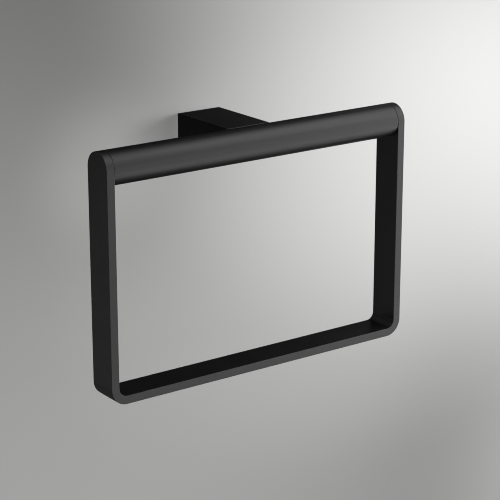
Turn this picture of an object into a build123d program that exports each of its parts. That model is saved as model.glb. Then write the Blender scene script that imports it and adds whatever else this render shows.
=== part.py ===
from build123d import *
import os

# Wall-mounted towel holder: a rectangular loop of flat bar, closed at the top
# by a round tube, carried on one rectangular post behind the tube's middle.
#
# Millimetres. +X to the right seen from the front, +Y into the wall, +Z up.
# The origin is the middle of the post's back, on the wall's surface (y = 0).

# ---------------------------------------------------------------- dimensions
BAR_D = 20.0              # outside diameter of the tube, and depth of the loop
BAR_WALL = 2.0            # wall of the tube
BAR_TO_WALL = 56.0        # wall to the tube's axis

LOOP_W = 210.0            # outside width of the loop
LOOP_T = 5.0              # thickness of the flat bar
LOOP_DROP = 135.0         # tube's axis down to the loop's underside
BEND_R_OUT = 10.0         # outside radius of the two bends
EDGE_R = 0.3              # softened edges of the flat bar
BAR_END_R = 0.3           # softened rim at each end of the tube
JOINT_GAP = 0.05          # tube's end to the loop's inner face

POST_W = 30.0             # post, along X
POST_H = 18.0             # post, along Z
POST_EDGE_R = 0.3         # softened long edges of the post
POST_WALL = 3.0           # wall round the post's hollow
POST_HOLLOW = 38.0        # depth of the hollow, from the wall side
POST_HOLLOW_R = 1.5       # corner radius of the hollow
POST_NOSE = 5.5           # blunt lip of the saddle, this far behind the tube's axis
POST_NOSE_R = 0.25        # softened upper and lower edge of that lip
SADDLE_GAP = 0.03         # saddle to the tube

SPIGOT_L = 9.0            # spigot length
SPIGOT_GAP = 0.05         # spigot to the tube's bore
SPIGOT_CBORE_D = 9.4      # counterbore for the screw's head
SPIGOT_CBORE = 4.0        # counterbore depth
SPIGOT_CHAMFER = 0.8      # lead-in on the spigot's inner end

M5_D, M4_D = 5.0, 4.0     # screw shanks
M5_CLEAR_D = 5.5          # clearance hole
TAP_GAP = 0.05            # shank to a tapped hole's wall, on the radius
LOW_HEAD_D, LOW_HEAD_H = 8.5, 3.5
CAP_HEAD_D, CAP_HEAD_H = 8.5, 5.0
SPIGOT_SCREW_L = 8.0      # under the head
LOOP_HOLE = 3.4           # depth of the blind hole in the loop
POST_SCREW_L = 16.0       # under the head
POST_SCREW_PITCH = 11.0   # spacing of the two post screws
WASHER_D, WASHER_BORE_D, WASHER_T = 10.0, 5.3, 1.0

BAR_GRUB_L = 4.0          # M4 grub screw under the tube's end
BAR_GRUB_IN = 4.2         # loop's inner face to the grub screw's axis
BAR_GRUB_SUNK = 0.35      # below the tube's surface
POST_GRUB_L = 6.0         # M5 grub screw under the post
POST_GRUB_Y = 7.0         # wall to the grub screw's axis
POST_GRUB_SUNK = 0.3      # below the post's underside

NUT_L = 34.0              # nut bar, along the tube
NUT_FLAT = 1.05           # flat of the nut bar, behind the tube's axis

BLOCK_GAP = 0.2           # wall block to the post's hollow
BLOCK_L = 12.0            # wall block, off the wall
BLOCK_PITCH = 13.0        # spacing of the wall screw holes
BLOCK_HOLE_D = 4.8        # wall screw hole
BLOCK_CSK_D = 9.4         # 90 degree countersink
BLOCK_CHAMFER = 0.6       # lead-in on the block's front edges

# ------------------------------------------------------------------- derived
R = BAR_D / 2
AXIS_Y = -BAR_TO_WALL
X_OUT = LOOP_W / 2
X_IN = X_OUT - LOOP_T
BEND_R_IN = BEND_R_OUT - LOOP_T
BORE_R = R - BAR_WALL
FRONT_Y, BACK_Y = AXIS_Y - R, AXIS_Y + R
PITCH = POST_SCREW_PITCH / 2
GRUB_X = X_IN - BAR_GRUB_IN

os.makedirs("parts", exist_ok=True)


def along_x(radius, x0, x1, y=AXIS_Y, z=0.0):
    """Cylinder along X between x0 and x1."""
    return Pos((x0 + x1) / 2, y, z) * Rot(0, 90, 0) * Cylinder(radius, abs(x1 - x0))


def along_y(radius, y0, y1, x=0.0, z=0.0):
    """Cylinder along Y between y0 and y1."""
    return Pos(x, (y0 + y1) / 2, z) * Rot(90, 0, 0) * Cylinder(radius, abs(y1 - y0))


def along_z(radius, z0, z1, x=0.0, y=0.0):
    """Cylinder along Z between z0 and z1."""
    return Pos(x, y, (z0 + z1) / 2) * Cylinder(radius, abs(z1 - z0))


def block(x0, x1, y0, y1, z0, z1):
    """Box between two corners."""
    return Pos((x0 + x1) / 2, (y0 + y1) / 2, (z0 + z1) / 2) * Box(
        abs(x1 - x0), abs(y1 - y0), abs(z1 - z0)
    )


def cap_screw(head_d, head_h, shank_d, length, key, key_depth):
    """Socket screw along Z: head from z = 0 up, shank from z = 0 down."""
    head = Pos(0, 0, head_h / 2) * Cylinder(head_d / 2, head_h)
    head = chamfer(head.edges().group_by(Axis.Z)[-1], 0.4)
    head -= Pos(0, 0, head_h) * extrude(
        RegularPolygon(key / 2, 6, major_radius=False), -key_depth
    )
    # drilled point at the bottom of the key socket
    head -= Pos(0, 0, head_h - key_depth - 0.3) * Cone(0.2, key / 2 - 0.1, 0.6)
    shank = Pos(0, 0, -length / 2) * Cylinder(shank_d / 2, length)
    shank = chamfer(shank.edges().group_by(Axis.Z)[0], 0.5)
    return head + shank


def grub_screw(shank_d, length, key, key_depth, cone):
    """Grub screw along Z: key socket at z = 0, point at z = length."""
    body = Pos(0, 0, (length - cone) / 2) * Cylinder(shank_d / 2, length - cone)
    body = chamfer(body.edges().group_by(Axis.Z)[0], 0.3)
    body += Pos(0, 0, length - cone / 2) * Cone(
        shank_d / 2, max(shank_d / 2 - cone, 0.05), cone
    )
    body -= extrude(RegularPolygon(key / 2, 6, major_radius=False), key_depth)
    body -= Pos(0, 0, key_depth + 0.2) * Cone(key / 2 - 0.1, 0.15, 0.4)
    return body


# ---------------------------------------------------------------- towel_loop
# One flat bar, bent twice. Drawn as a U in the XZ plane and given its depth
# along Y. Its two upper ends are full rounds about the tube's axis.
outer = Pos(0, -LOOP_DROP / 2) * Rectangle(LOOP_W, LOOP_DROP)
outer = fillet(outer.vertices().group_by(Axis.Y)[0], BEND_R_OUT)
inner_h = LOOP_DROP - LOOP_T
inner = Pos(0, -inner_h / 2) * Rectangle(2 * X_IN, inner_h)
inner = fillet(inner.vertices().group_by(Axis.Y)[0], BEND_R_IN)
loop = extrude(Plane.XZ.offset(-BACK_Y) * (outer - inner), BAR_D)
loop += along_x(R, -X_OUT, -X_IN)
loop += along_x(R, X_IN, X_OUT)
loop = loop.clean()


def on_face(edge, axis, at):
    """True if the whole edge lies on the plane axis = at."""
    box = edge.bounding_box()
    low, high = getattr(box.min, axis), getattr(box.max, axis)
    return abs(low - at) < 1e-3 and abs(high - at) < 1e-3


rims = []
for e in loop.edges():
    flat = on_face(e, "Y", FRONT_Y) or on_face(e, "Y", BACK_Y)
    end = any(on_face(e, "X", s * x) for s in (-1, 1) for x in (X_IN, X_OUT))
    tangent = on_face(e, "Z", 0) and abs(e.length - LOOP_T) < 1e-3
    if (flat or end) and not tangent and e.length > 0.5:
        rims.append(e)
# the lines along Y where a bend runs into a straight stretch stay as they are
rims = [
    e
    for e in rims
    if e.bounding_box().size.Y < 1e-3 or e.geom_type != GeomType.LINE
]
loop = fillet(rims, EDGE_R)
for s in (-1, 1):
    loop -= along_x(M5_D / 2 + TAP_GAP, s * (X_IN - 1), s * (X_IN + LOOP_HOLE))
export_step(loop, "parts/towel_loop.step")

# ----------------------------------------------------------------- cross_bar
# Round tube between the inner faces of the loop, with two clearance holes at
# the back for the post screws and one tapped hole under each end.
x_end = X_IN - JOINT_GAP
bar = along_x(R, -x_end, x_end)
bar = fillet(
    [e for e in bar.edges() if e.geom_type == GeomType.CIRCLE], BAR_END_R
)
bar -= along_x(BORE_R, -x_end - 1, x_end + 1)
for s in (-1, 1):
    bar -= along_y(M5_CLEAR_D / 2, AXIS_Y + 2, BACK_Y + 1, x=s * PITCH)
    bar -= along_z(M4_D / 2 + TAP_GAP, -R - 1, -2, x=s * GRUB_X, y=AXIS_Y)
export_step(bar, "parts/cross_bar.step")

# -------------------------------------------------------------- bar_spigot_*
# Turned plug in each end of the tube, flat against the loop.
for s, side in ((-1, "left"), (1, "right")):
    spigot = along_x(BORE_R - SPIGOT_GAP, s * (X_IN - SPIGOT_L), s * X_IN)
    rim = spigot.edges().filter_by(GeomType.CIRCLE)
    rim = [e for e in rim if abs(e.center().X - s * (X_IN - SPIGOT_L)) < 1e-3]
    spigot = chamfer(rim, SPIGOT_CHAMFER)
    spigot -= along_x(M5_CLEAR_D / 2, s * (X_IN - SPIGOT_L - 1), s * (X_IN + 1))
    spigot -= along_x(
        SPIGOT_CBORE_D / 2,
        s * (X_IN - SPIGOT_L - 1),
        s * (X_IN - SPIGOT_L + SPIGOT_CBORE),
    )
    seat_top = -R + BAR_GRUB_SUNK + BAR_GRUB_L + 0.1
    spigot -= along_z(M4_D / 2 + 0.15, -R, seat_top, x=s * GRUB_X, y=AXIS_Y)
    export_step(spigot, f"parts/bar_spigot_{side}.step")

# ------------------------------------------------------------- spigot_screws
# Low-head socket screw through each spigot into the loop.
low = cap_screw(LOW_HEAD_D, LOW_HEAD_H, M5_D, SPIGOT_SCREW_L, 3.0, 2.0)
head_x = X_IN - SPIGOT_L + SPIGOT_CBORE
# the shank runs outwards, away from the tube's middle
screws = [
    Pos(-head_x, AXIS_Y, 0) * Rot(0, 90, 0) * low,
    Pos(head_x, AXIS_Y, 0) * Rot(0, -90, 0) * low,
]
export_step(Compound(children=screws), "parts/spigot_screws.step")

# ----------------------------------------------------------- bar_grub_screws
grub = grub_screw(M4_D, BAR_GRUB_L, 2.0, 1.8, 0.6)
grubs = [Pos(s * GRUB_X, AXIS_Y, -R + BAR_GRUB_SUNK) * grub for s in (-1, 1)]
export_step(Compound(children=grubs), "parts/bar_grub_screws.step")

# ------------------------------------------------------------------- bar_nut
# Half-round bar inside the tube, against its back, with two tapped holes.
nut = along_x(BORE_R - SPIGOT_GAP, -NUT_L / 2, NUT_L / 2)
nut &= block(-NUT_L, NUT_L, AXIS_Y + NUT_FLAT, AXIS_Y + R, -R, R)
nut = chamfer(
    [e for e in nut.edges() if abs(abs(e.center().X) - NUT_L / 2) < 1e-3], 0.5
)
for s in (-1, 1):
    nut -= along_y(M5_D / 2 + TAP_GAP, AXIS_Y, BACK_Y, x=s * PITCH)
export_step(nut, "parts/bar_nut.step")

# -------------------------------------------------------------- bracket_post
# Rectangular post, hollow from the wall side, with a saddle for the tube and
# a blunt lip above and below it.
nose_y = AXIS_Y + POST_NOSE
post = block(-POST_W / 2, POST_W / 2, nose_y, 0, -POST_H / 2, POST_H / 2)
long_edges = post.edges().filter_by(Axis.Y)
post = fillet(long_edges, POST_EDGE_R)
post -= along_x(R + SADDLE_GAP, -POST_W, POST_W)
lips = [
    e
    for e in post.edges().filter_by(Axis.X)
    if abs(e.center().Y - nose_y) < 1e-3 and abs(abs(e.center().Z) - POST_H / 2) < 1e-3
]
post = fillet(lips, POST_NOSE_R)
hollow_w, hollow_h = POST_W - 2 * POST_WALL, POST_H - 2 * POST_WALL
hollow = extrude(
    Plane.XZ * RectangleRounded(hollow_w, hollow_h, POST_HOLLOW_R), POST_HOLLOW
)
post -= hollow
for s in (-1, 1):
    post -= along_y(M5_CLEAR_D / 2, BACK_Y - 2, -POST_HOLLOW + 1, x=s * PITCH)
post -= along_z(
    M5_D / 2 + TAP_GAP, -POST_H / 2 - 1, -hollow_h / 2 + 1, y=-POST_GRUB_Y
)
export_step(post, "parts/bracket_post.step")

# --------------------------------------------- post_screws, post_screw_washers
seat_y = -POST_HOLLOW
cap = cap_screw(CAP_HEAD_D, CAP_HEAD_H, M5_D, POST_SCREW_L, 4.0, 2.5)
screws, washers = [], []
for s in (-1, 1):
    # head towards the wall, shank towards the tube
    screws.append(Pos(s * PITCH, seat_y + WASHER_T, 0) * Rot(-90, 0, 0) * cap)
    ring = along_y(WASHER_D / 2, seat_y, seat_y + WASHER_T, x=s * PITCH)
    ring -= along_y(WASHER_BORE_D / 2, seat_y - 1, seat_y + 2, x=s * PITCH)
    washers.append(ring)
export_step(Compound(children=screws), "parts/post_screws.step")
export_step(Compound(children=washers), "parts/post_screw_washers.step")

# ---------------------------------------------------------------- wall_block
# Fixing block in the post's open back, flush with the wall, with two
# countersunk holes and a cone-shaped seat underneath for the grub screw.
bw, bh = hollow_w - 2 * BLOCK_GAP, hollow_h - 2 * BLOCK_GAP
wall_block = extrude(
    Plane.XZ * RectangleRounded(bw, bh, POST_HOLLOW_R - BLOCK_GAP), BLOCK_L
)
front_rim = [
    e for e in wall_block.edges() if on_face(e, "Y", -BLOCK_L)
]
wall_block = chamfer(front_rim, BLOCK_CHAMFER)
csk = (BLOCK_CSK_D - BLOCK_HOLE_D) / 2
for s in (-1, 1):
    x = s * BLOCK_PITCH / 2
    wall_block -= along_y(BLOCK_HOLE_D / 2, -BLOCK_L - 1, 1, x=x)
    # the wide end of the countersink is on the front
    wall_block -= (
        Pos(x, -BLOCK_L + csk / 2, 0)
        * Rot(90, 0, 0)
        * Cone(BLOCK_HOLE_D / 2, BLOCK_CSK_D / 2, csk)
    )
tip_z = -POST_H / 2 + POST_GRUB_SUNK + POST_GRUB_L
seat_r = tip_z + 0.1 + bh / 2
wall_block -= Pos(0, -POST_GRUB_Y, (tip_z + 0.1 - bh / 2) / 2) * Cone(
    seat_r, 0.02, seat_r
)
export_step(wall_block, "parts/wall_block.step")

# ----------------------------------------------------------- post_grub_screw
grub = grub_screw(M5_D, POST_GRUB_L, 2.5, 2.4, M5_D / 2 - 0.1)
grub = Pos(0, -POST_GRUB_Y, -POST_H / 2 + POST_GRUB_SUNK) * grub
export_step(grub, "parts/post_grub_screw.step")
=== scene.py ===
"""Looks of a wall-mounted black towel holder: a flat-bar loop under a round cross bar, on one square post."""
import math

import bpy
from mathutils import Matrix, Vector


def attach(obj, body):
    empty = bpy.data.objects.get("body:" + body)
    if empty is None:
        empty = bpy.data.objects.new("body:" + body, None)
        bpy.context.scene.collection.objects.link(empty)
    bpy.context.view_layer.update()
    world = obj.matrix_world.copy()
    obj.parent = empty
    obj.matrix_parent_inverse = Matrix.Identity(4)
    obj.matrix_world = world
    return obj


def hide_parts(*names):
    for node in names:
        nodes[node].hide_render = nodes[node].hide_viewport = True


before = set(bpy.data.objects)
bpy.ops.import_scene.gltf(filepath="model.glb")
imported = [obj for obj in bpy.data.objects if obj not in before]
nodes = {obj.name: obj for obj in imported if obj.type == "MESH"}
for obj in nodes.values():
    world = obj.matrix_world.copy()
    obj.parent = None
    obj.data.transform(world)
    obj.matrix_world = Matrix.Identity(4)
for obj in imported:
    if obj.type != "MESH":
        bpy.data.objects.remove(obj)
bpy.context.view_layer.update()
scene = bpy.context.scene

# ---------------------------------------------------------------- camera
YAW, PITCH = 0.6287, 0.2983            # radians: turned to the right, tipped down
FOCAL_PX, FRAME_PX = 1769.99, 500
CAMERA_AT = (-0.58257, -0.85320, 0.23930)


def facing(place, forward):
    f = Vector(forward).normalized()
    r = f.cross(Vector((0, 0, 1))).normalized()
    m = Matrix((r, r.cross(f), -f)).transposed().to_4x4()
    m.translation = Vector(place)
    return m


cam = bpy.data.cameras.new("camera")
cam.sensor_width = 36
cam.lens = FOCAL_PX * 36 / FRAME_PX
cam.clip_start, cam.clip_end = 0.01, 50
cam_obj = bpy.data.objects.new("camera", cam)
scene.collection.objects.link(cam_obj)
cam_obj.matrix_world = facing(
    CAMERA_AT,
    (math.sin(YAW) * math.cos(PITCH), math.cos(YAW) * math.cos(PITCH), -math.sin(PITCH)),
)
scene.camera = cam_obj
scene.view_settings.view_transform = "Standard"
scene.cycles.filter_width = 1.0          # crisp pixels


# ---------------------------------------------------------------- materials
class Nodes:
    """A small helper: a material's node tree, with its Principled shader."""

    def __init__(self, name):
        self.mat = bpy.data.materials.new(name)
        self.mat.use_nodes = True
        self.tree = self.mat.node_tree
        self.bsdf = self.tree.nodes["Principled BSDF"]

    def add(self, kind, **values):
        n = self.tree.nodes.new(kind)
        for key, value in values.items():
            if key in n.inputs:
                n.inputs[key].default_value = value
            else:
                setattr(n, key, value)
        return n

    def link(self, a, b):
        self.tree.links.new(a, b)

    def place(self, scale=(1, 1, 1)):
        """The surface's own place in metres, stretched along each axis."""
        coord = self.add("ShaderNodeTexCoord")
        m = self.add("ShaderNodeMapping")
        m.inputs["Scale"].default_value = scale
        self.link(coord.outputs["Object"], m.inputs["Vector"])
        return m.outputs["Vector"]

    def noise(self, vector, scale, detail=2.0, rough=0.5):
        n = self.add("ShaderNodeTexNoise", Scale=scale, Detail=detail, Roughness=rough)
        self.link(vector, n.inputs["Vector"])
        return n.outputs["Fac"]

    def spread(self, fac, low, high, a=0.3, b=0.7):
        n = self.add("ShaderNodeMapRange")
        n.inputs["From Min"].default_value = a
        n.inputs["From Max"].default_value = b
        n.inputs["To Min"].default_value = low
        n.inputs["To Max"].default_value = high
        self.link(fac, n.inputs["Value"])
        return n.outputs["Result"]

    def two_tone(self, fac, dark, light, a=0.3, b=0.7):
        n = self.add("ShaderNodeValToRGB")
        n.color_ramp.elements[0].position = a
        n.color_ramp.elements[1].position = b
        n.color_ramp.elements[0].color = (*dark, 1)
        n.color_ramp.elements[1].color = (*light, 1)
        self.link(fac, n.inputs["Fac"])
        return n.outputs["Color"]

    def bump(self, height, distance, strength=1.0, under=None):
        n = self.add("ShaderNodeBump", Distance=distance, Strength=strength)
        self.link(height, n.inputs["Height"])
        if under is not None:
            self.link(under, n.inputs["Normal"])
        return n.outputs["Normal"]


def black_coat():
    """Fine satin powder coat: near-black, a dense 0.2 mm grain over a faint 2 mm flow."""
    m = Nodes("black_coat")
    p = m.place()
    grain, flow, cloud = m.noise(p, 4500, 3, 0.55), m.noise(p, 420, 1), m.noise(p, 60, 3)
    m.link(m.two_tone(grain, (0.0085, 0.0085, 0.0086), (0.0115, 0.0115, 0.0116)), m.bsdf.inputs["Base Color"])
    m.link(m.spread(cloud, 0.35, 0.40), m.bsdf.inputs["Roughness"])
    n = m.bump(flow, 0.00004, 0.25)
    m.link(m.bump(grain, 0.00002, 0.35, n), m.bsdf.inputs["Normal"])
    return m.mat


def turned_brass():
    """Bright turned brass: fine tool rings along the bar's axis, slightly uneven tone."""
    m = Nodes("turned_brass")
    m.bsdf.inputs["Metallic"].default_value = 1.0
    rings = m.noise(m.place((1, 0.02, 0.02)), 6000, 2)
    tone = m.noise(m.place(), 160, 4)
    m.link(m.two_tone(tone, (0.60, 0.40, 0.16), (0.74, 0.53, 0.25)), m.bsdf.inputs["Base Color"])
    m.link(m.spread(rings, 0.20, 0.36), m.bsdf.inputs["Roughness"])
    m.link(m.bump(rings, 0.00001, 0.5), m.bsdf.inputs["Normal"])
    return m.mat


def screw_steel():
    """Stainless screw steel: cold-formed, clean, faint cloudy polish."""
    m = Nodes("screw_steel")
    m.bsdf.inputs["Metallic"].default_value = 1.0
    p = m.place()
    tone, fine = m.noise(p, 220, 4), m.noise(p, 3500, 2)
    m.link(m.two_tone(tone, (0.50, 0.49, 0.47), (0.63, 0.62, 0.60)), m.bsdf.inputs["Base Color"])
    m.link(m.spread(tone, 0.24, 0.38), m.bsdf.inputs["Roughness"])
    m.link(m.bump(fine, 0.00001, 0.3), m.bsdf.inputs["Normal"])
    return m.mat


def black_steel():
    """Black-oxide hardened steel of the set screws, with a dry oily mottling."""
    m = Nodes("black_steel")
    m.bsdf.inputs["Metallic"].default_value = 1.0
    p = m.place()
    tone, fine = m.noise(p, 500, 4), m.noise(p, 5000, 2)
    m.link(m.two_tone(tone, (0.030, 0.031, 0.034), (0.062, 0.062, 0.066)), m.bsdf.inputs["Base Color"])
    m.link(m.spread(tone, 0.34, 0.52), m.bsdf.inputs["Roughness"])
    m.link(m.bump(fine, 0.00001, 0.4), m.bsdf.inputs["Normal"])
    return m.mat


def plated_steel():
    """Zinc-plated steel: rolled grain along the plate and a soft crystalline tone."""
    m = Nodes("plated_steel")
    m.bsdf.inputs["Metallic"].default_value = 1.0
    rolled = m.noise(m.place((0.03, 1, 1)), 3000, 3)
    cloud = m.noise(m.place(), 140, 5)
    m.link(m.two_tone(cloud, (0.48, 0.49, 0.50), (0.64, 0.65, 0.65)), m.bsdf.inputs["Base Color"])
    m.link(m.spread(rolled, 0.26, 0.44), m.bsdf.inputs["Roughness"])
    m.link(m.bump(rolled, 0.00001, 0.4), m.bsdf.inputs["Normal"])
    return m.mat


FINISH = {
    "black_coat": (black_coat(), ["towel_loop", "cross_bar", "bracket_post"]),
    "turned_brass": (turned_brass(), ["bar_spigot_left", "bar_spigot_right", "bar_nut"]),
    "screw_steel": (screw_steel(), ["spigot_screws", "post_screws", "post_screw_washers"]),
    "black_steel": (black_steel(), ["bar_grub_screws", "post_grub_screw"]),
    "plated_steel": (plated_steel(), ["wall_block"]),
}
for material, names in FINISH.values():
    for name in names:
        for slot in nodes[name].material_slots:
            slot.material = material


# ---------------------------------------------------------------- threaded screws
# Each screw is one closed skin of rings: point, helical thread, head, key socket.
AROUND, PER_TURN = 144, 10
TURN = [2 * math.pi * i / AROUND for i in range(AROUND)]


def thread(z, angle, pitch, crest):
    """Radius of a metric thread at this height and angle: flat crest, 60 degree flanks, flat root."""
    phase = (z / pitch - angle / (2 * math.pi)) % 1.0
    off = abs(phase - 0.5)
    rise = min(max((0.375 - off) / 0.3125, 0.0), 1.0)
    return crest - 0.54 * pitch * (1.0 - rise)


def hexagon(angle, flats):
    """Radius of a hexagon of that width across its flats."""
    return flats / 2 / math.cos((angle % (math.pi / 3)) - math.pi / 6)


def even(radius):
    return [radius] * AROUND


def thread_rings(z0, z1, pitch, crest, limit, fade):
    """Rings of thread from z0 up to z1. limit(z) keeps the crest inside the point, fade(z) is 1 on full thread and 0 on plain shank."""
    count = max(2, int(round((z1 - z0) / pitch * PER_TURN)))
    rings = []
    for i in range(count + 1):
        z = z0 + (z1 - z0) * i / count
        k = fade(z)
        rings.append((z, [min(crest - k * (crest - thread(z, t, pitch, crest)), limit(z)) for t in TURN]))
    return rings


def skin(name, screws, rings, first, last, material, slot, node):
    """A closed mesh through the rings (millimetres), pointed at first and last on the axis, once for each screw's place."""
    verts, faces = [], []
    for m in screws:
        base = len(verts)
        verts.append(m @ Vector((0, 0, first)))
        for z, radii in rings:
            verts += [m @ Vector((r * math.cos(t), r * math.sin(t), z)) for r, t in zip(radii, TURN)]
        verts.append(m @ Vector((0, 0, last)))
        end = len(verts) - 1
        for j in range(AROUND):
            n = (j + 1) % AROUND
            faces.append((base, base + 1 + n, base + 1 + j))
            for i in range(len(rings) - 1):
                r0, r1 = base + 1 + i * AROUND, base + 1 + (i + 1) * AROUND
                faces.append((r0 + j, r0 + n, r1 + n, r1 + j))
            top = base + 1 + (len(rings) - 1) * AROUND
            faces.append((top + j, top + n, end))
    me = bpy.data.meshes.new(name)
    me.from_pydata([v * 0.001 for v in verts], [], faces)
    me.polygons.foreach_set("use_smooth", [True] * len(me.polygons))
    me.set_sharp_from_angle(angle=math.radians(32))
    me.materials.append(material)
    o = bpy.data.objects.new(name, me)
    scene.collection.objects.link(o)
    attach(o, "root")
    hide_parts(node)
    SCREWS.append(o)


def cap_screw_rings(head_d, head_h, length, key, depth, shank=5.0, pitch=0.8):
    """Point at -length, underside of the head at 0, key socket in the top."""
    crest, neck, full = shank / 2, -1.1, -2.0
    point = lambda z: crest - 0.5 + (z + length)
    rings = [(-length, even(crest - 0.55))]
    rings += thread_rings(-length, neck, pitch, crest - 0.01, lambda z: min(crest, point(z)), lambda z: min(max((neck - z) / (neck - full), 0.0), 1.0))
    rings += [(-0.25, even(crest - 0.01)), (-0.07, even(crest + 0.04)), (0.0, even(crest + 0.18))]
    side = head_d / 2
    knurl = [side - 0.13 * (0.5 + 0.5 * math.cos(36 * t)) for t in TURN]
    rings += [(0.0, even(side - 0.28)), (0.08, even(side - 0.14)), (0.22, even(side - 0.10))]
    rings += [(0.34, knurl), (head_h - 0.72, knurl), (head_h - 0.60, even(side - 0.05)), (head_h - 0.46, even(side - 0.03))]
    rings += [(head_h - 0.40, even(side - 0.06)), (head_h - 0.04, even(side - 0.40)), (head_h, even(side - 0.50))]
    corner = key / math.sqrt(3)
    rings += [(head_h, even(corner + 0.16)), (head_h - 0.05, even(corner + 0.08))]
    rings += [(head_h - 0.30, [min(corner, hexagon(t, key)) for t in TURN]), (head_h - depth, [hexagon(t, key) for t in TURN])]
    rings += [(head_h - depth, even(key / 2 - 0.12)), (head_h - depth - 0.45, even(0.35))]
    return rings, -length, head_h - depth - 0.55


def grub_screw_rings(shank, length, key, depth, cone, pitch):
    """Key socket at 0, cone point at length."""
    crest = shank / 2 - 0.01
    tip = max(shank / 2 - cone, 0.05)
    limit = lambda z: min(crest - 0.3 + z if z < 0.3 else crest, tip + 0.02 + (length - z))
    rings = [(depth + 0.3, even(0.2)), (depth, even(key / 2 - 0.1)), (depth, [hexagon(t, key) for t in TURN]), (0.2, [hexagon(t, key) for t in TURN])]
    rings += [(0.0, even(key / math.sqrt(3) + 0.05)), (0.0, even(crest - 0.32))]
    rings += thread_rings(0.0, length - cone + 0.3, pitch, crest, limit, lambda z: 1.0)
    rings += [(length - cone + 0.5, even(min(crest, tip + cone - 0.5))), (length - 0.02, even(tip + 0.02)), (length, even(max(tip - 0.05, 0.03)))]
    return rings, depth + 0.36, length


def at(x, y, z, turn=0.0, axis="X"):
    return Matrix.Translation((x, y, z)) @ Matrix.Rotation(math.radians(turn), 4, axis)


AXIS_Y, RIM_X, GRUB_X = -56.0, 95.0, 95.8
SCREWS = []
skin("spigot_screws_threaded", [at(-RIM_X, AXIS_Y, 0, 90, "Y"), at(RIM_X, AXIS_Y, 0, -90, "Y")],
     *cap_screw_rings(8.5, 3.5, 8.0, 3.0, 2.0), FINISH["screw_steel"][0], "screw_steel", "spigot_screws")
skin("post_screws_threaded", [at(-5.5, -37.0, 0, -90), at(5.5, -37.0, 0, -90)],
     *cap_screw_rings(8.5, 5.0, 16.0, 4.0, 2.5), FINISH["screw_steel"][0], "screw_steel", "post_screws")
skin("bar_grub_screws_threaded", [at(-GRUB_X, AXIS_Y, -9.65), at(GRUB_X, AXIS_Y, -9.65)],
     *grub_screw_rings(4.0, 4.0, 2.0, 1.8, 0.6, 0.7), FINISH["black_steel"][0], "black_steel", "bar_grub_screws")
skin("post_grub_screw_threaded", [at(0, -7.0, -8.7)],
     *grub_screw_rings(5.0, 6.0, 2.5, 2.4, 2.4, 0.8), FINISH["black_steel"][0], "black_steel", "post_grub_screw")


# ---------------------------------------------------------------- stage
def plain_matt(name, colour):
    m = Nodes(name)
    m.bsdf.inputs["Roughness"].default_value = 0.9
    m.bsdf.inputs["Specular IOR Level"].default_value = 0.0
    cloud = m.noise(m.place(), 3.0, 3)
    m.link(m.two_tone(cloud, [c * 0.985 for c in colour], colour), m.bsdf.inputs["Base Color"])
    return m


def sheet(name, corners, material):
    me = bpy.data.meshes.new(name)
    me.from_pydata(corners, [], [(0, 1, 2, 3)])
    me.materials.append(material)
    o = bpy.data.objects.new(name, me)
    scene.collection.objects.link(o)
    return o


FLOOR_Z, WALL_Y = -1.25, 0.0003
PALE = (0.80, 0.80, 0.79)
FAR = 60
floor = sheet("floor", [(-FAR, -FAR, FLOOR_Z), (FAR, -FAR, FLOOR_Z), (FAR, FAR, FLOOR_Z), (-FAR, FAR, FLOOR_Z)], plain_matt("pale_floor", PALE).mat)
floor.visible_diffuse = floor.visible_glossy = False

# The backdrop is one-sided, so that the holder can also be seen from behind it.
paint = plain_matt("pale_backdrop", PALE)
side, clear, mix = paint.add("ShaderNodeNewGeometry"), paint.add("ShaderNodeBsdfTransparent"), paint.add("ShaderNodeMixShader")
paint.link(side.outputs["Backfacing"], mix.inputs[0])
paint.link(paint.bsdf.outputs[0], mix.inputs[1])
paint.link(clear.outputs[0], mix.inputs[2])
paint.link(mix.outputs[0], paint.tree.nodes["Material Output"].inputs["Surface"])
LEFT, RIGHT, TOP = -0.45, 1.0, 2.0
backdrop = sheet("backdrop", [(LEFT, WALL_Y, FLOOR_Z), (RIGHT, WALL_Y, FLOOR_Z), (RIGHT, WALL_Y, TOP), (LEFT, WALL_Y, TOP)], paint.mat)
backdrop.visible_diffuse = backdrop.visible_glossy = backdrop.visible_shadow = False

# ---------------------------------------------------------------- light
LIGHT_CENTRE, LIGHT_FAR, LIGHT_SIDE = Vector((0, -0.05, -0.06)), 1.25, 0.6


def lit_only(name, members):
    """A set of objects that a softbox lights, and no others."""
    group = bpy.data.collections.new(name)
    for o in members:
        group.objects.link(o)
    return group


POST = [nodes["bracket_post"]]
BOW = [o for o in nodes.values() if o not in POST] + SCREWS
lit_bow, lit_post = lit_only("lit_bow", BOW), lit_only("lit_post", POST)
lit_holder = lit_only("lit_holder", BOW + POST)
lit_backdrop, lit_floor = lit_only("lit_backdrop", [backdrop]), lit_only("lit_floor", [floor])

# Degrees round (0 in front, 90 to the right), degrees up, radiance.
PANEL = [
    (60, -40, 0.98), (60, -20, 1.98), (60, 0, 3.07), (60, 20, 2.69), (60, 40, 1.82), (60, 60, 1.02),
    (30, -40, 1.09), (30, -20, 0.69), (30, 0, 0.94), (30, 20, 0.35), (30, 40, 0.59),
    (90, -40, 0.27), (90, -20, 0.41), (90, 0, 0.18), (90, 40, 0.97), (90, 60, 0.41), (120, -20, 0.48), (120, 0, 0.13),
    (0, -40, 0.57), (0, -60, 0.84), (-30, -20, 1.37), (-60, -20, 1.30), (-60, 0, 0.20),
]
BOW_FILL = [(180, -30, 0.08), (-150, -40, 0.11), (-120, 0, 0.06), (120, 20, 0.26), (150, 60, 0.08), (-150, 60, 0.80), (-150, 20, 0.19)]
FRONT_GLOSS = [
    (0, -20, 0.5), (0, 0, 0.5), (0, 20, 0.7), (0, 40, 0.9), (0, 60, 0.5), (-30, 20, 0.8), (-30, 40, 0.8),
    (-60, 20, 1.3), (-60, 40, 1.4), (-60, 60, 0.6),
]
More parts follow.
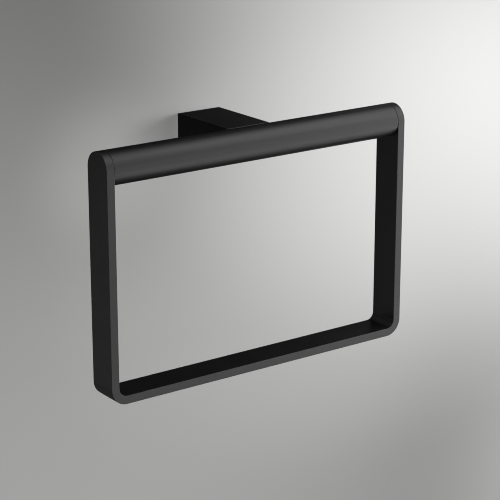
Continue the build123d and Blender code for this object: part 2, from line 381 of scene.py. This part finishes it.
POST_FILL = [(-120, -20, 0.19), (-120, 0, 0.21), (120, 0, 0.10), (120, 20, 0.39), (120, 40, 0.47), (120, 60, 0.11)]


def softbox(name, turn, up, radiance, only, matt=True, gloss=True):
    a, e = math.radians(turn), math.radians(up)
    d = Vector((math.sin(a) * math.cos(e), -math.cos(a) * math.cos(e), math.sin(e)))
    light = bpy.data.lights.new(name, "AREA")
    light.shape, light.size = "SQUARE", LIGHT_SIDE
    light.energy = radiance * math.pi * LIGHT_SIDE ** 2
    o = bpy.data.objects.new(f"{name}_{turn}_{up}", light)
    scene.collection.objects.link(o)
    o.matrix_world = facing(LIGHT_CENTRE + d * LIGHT_FAR, -d)
    o.visible_diffuse, o.visible_glossy = matt, gloss
    o.light_linking.receiver_collection = only


for box in PANEL:
    softbox("panel", *box, lit_holder)
for box in BOW_FILL:
    softbox("bow_fill", *box, lit_bow)
for box in FRONT_GLOSS:
    softbox("front_gloss", *box, lit_holder, False)
for box in POST_FILL:
    softbox("post_fill", *box, lit_post)
softbox("back_fill", 180, 0, 8.0, lit_holder, True, False)


def lamp(name, kind, place, forward, only, casts=None, **values):
    light = bpy.data.lights.new(name, kind)
    for key, value in values.items():
        setattr(light, key, value)
    o = bpy.data.objects.new(name, light)
    scene.collection.objects.link(o)
    o.matrix_world = facing(place, forward)
    o.light_linking.receiver_collection = only
    if casts is not None:
        o.light_linking.blocker_collection = casts


# A nearer softbox behind the left upright, for its outer side alone.
lamp("near_left", "AREA", (-0.52, 0.42, -0.27), (0.415, -0.476, 0.19), lit_bow, energy=0.34 * math.pi * 0.3 ** 2, shape="SQUARE", size=0.3)

# A pool of light on the backdrop, carried on to its right end: place, aim, half angle, blend, energy.
POOL = [
    ((0.55, -1.1, 0.10), (0.235, 0, 0.093), 0.256, 1.00, 30.6),
    ((1.05, -1.1, 0.10), (0.397, 0, -0.021), 0.254, 0.86, 13.2),
    ((1.65, -1.1, 0.12), (0.200, 0, -0.074), 0.100, 1.00, 52.8),
    ((1.20, -1.1, 0.00), (-0.654, 0, -0.511), 0.357, 1.00, 58.3),
    ((1.30, -1.3, 0.10), (1.432, 0, -0.300), 0.800, 0.27, 74.7),
    ((0.30, -1.1, 0.00), (-0.068, 0, -0.016), 0.043, 1.00, 6.2),
]
for k, (place, aim, half, blend, energy) in enumerate(POOL):
    lamp(f"pool_{k}", "SPOT", place, Vector(aim) - Vector(place), lit_backdrop, lit_floor,
         energy=energy, spot_size=2 * half, spot_blend=blend, shadow_soft_size=0.02)

# An even wash over the backdrop from three sides of one soft source, which casts the post's shadow.
for k, lean in enumerate((0.22, 0.50, 0.80)):
    lamp(f"wash_{k}", "SUN", (0, -2, 0), (-lean, 1, -0.12 * lean), lit_backdrop, lit_post,
         energy=0.214 * math.hypot(1, lean), angle=0.26)
lamp("floor_wash", "SUN", (0, 0, 3), (0.05, 0.05, -1), lit_floor, energy=2.7, angle=0.5)

world = bpy.data.worlds.new("studio")
scene.world = world
world.use_nodes = True
world.node_tree.nodes["Background"].inputs[0].default_value = (0.72, 0.72, 0.71, 1)
seen = world.cycles_visibility
seen.diffuse = seen.glossy = seen.transmission = seen.scatter = False
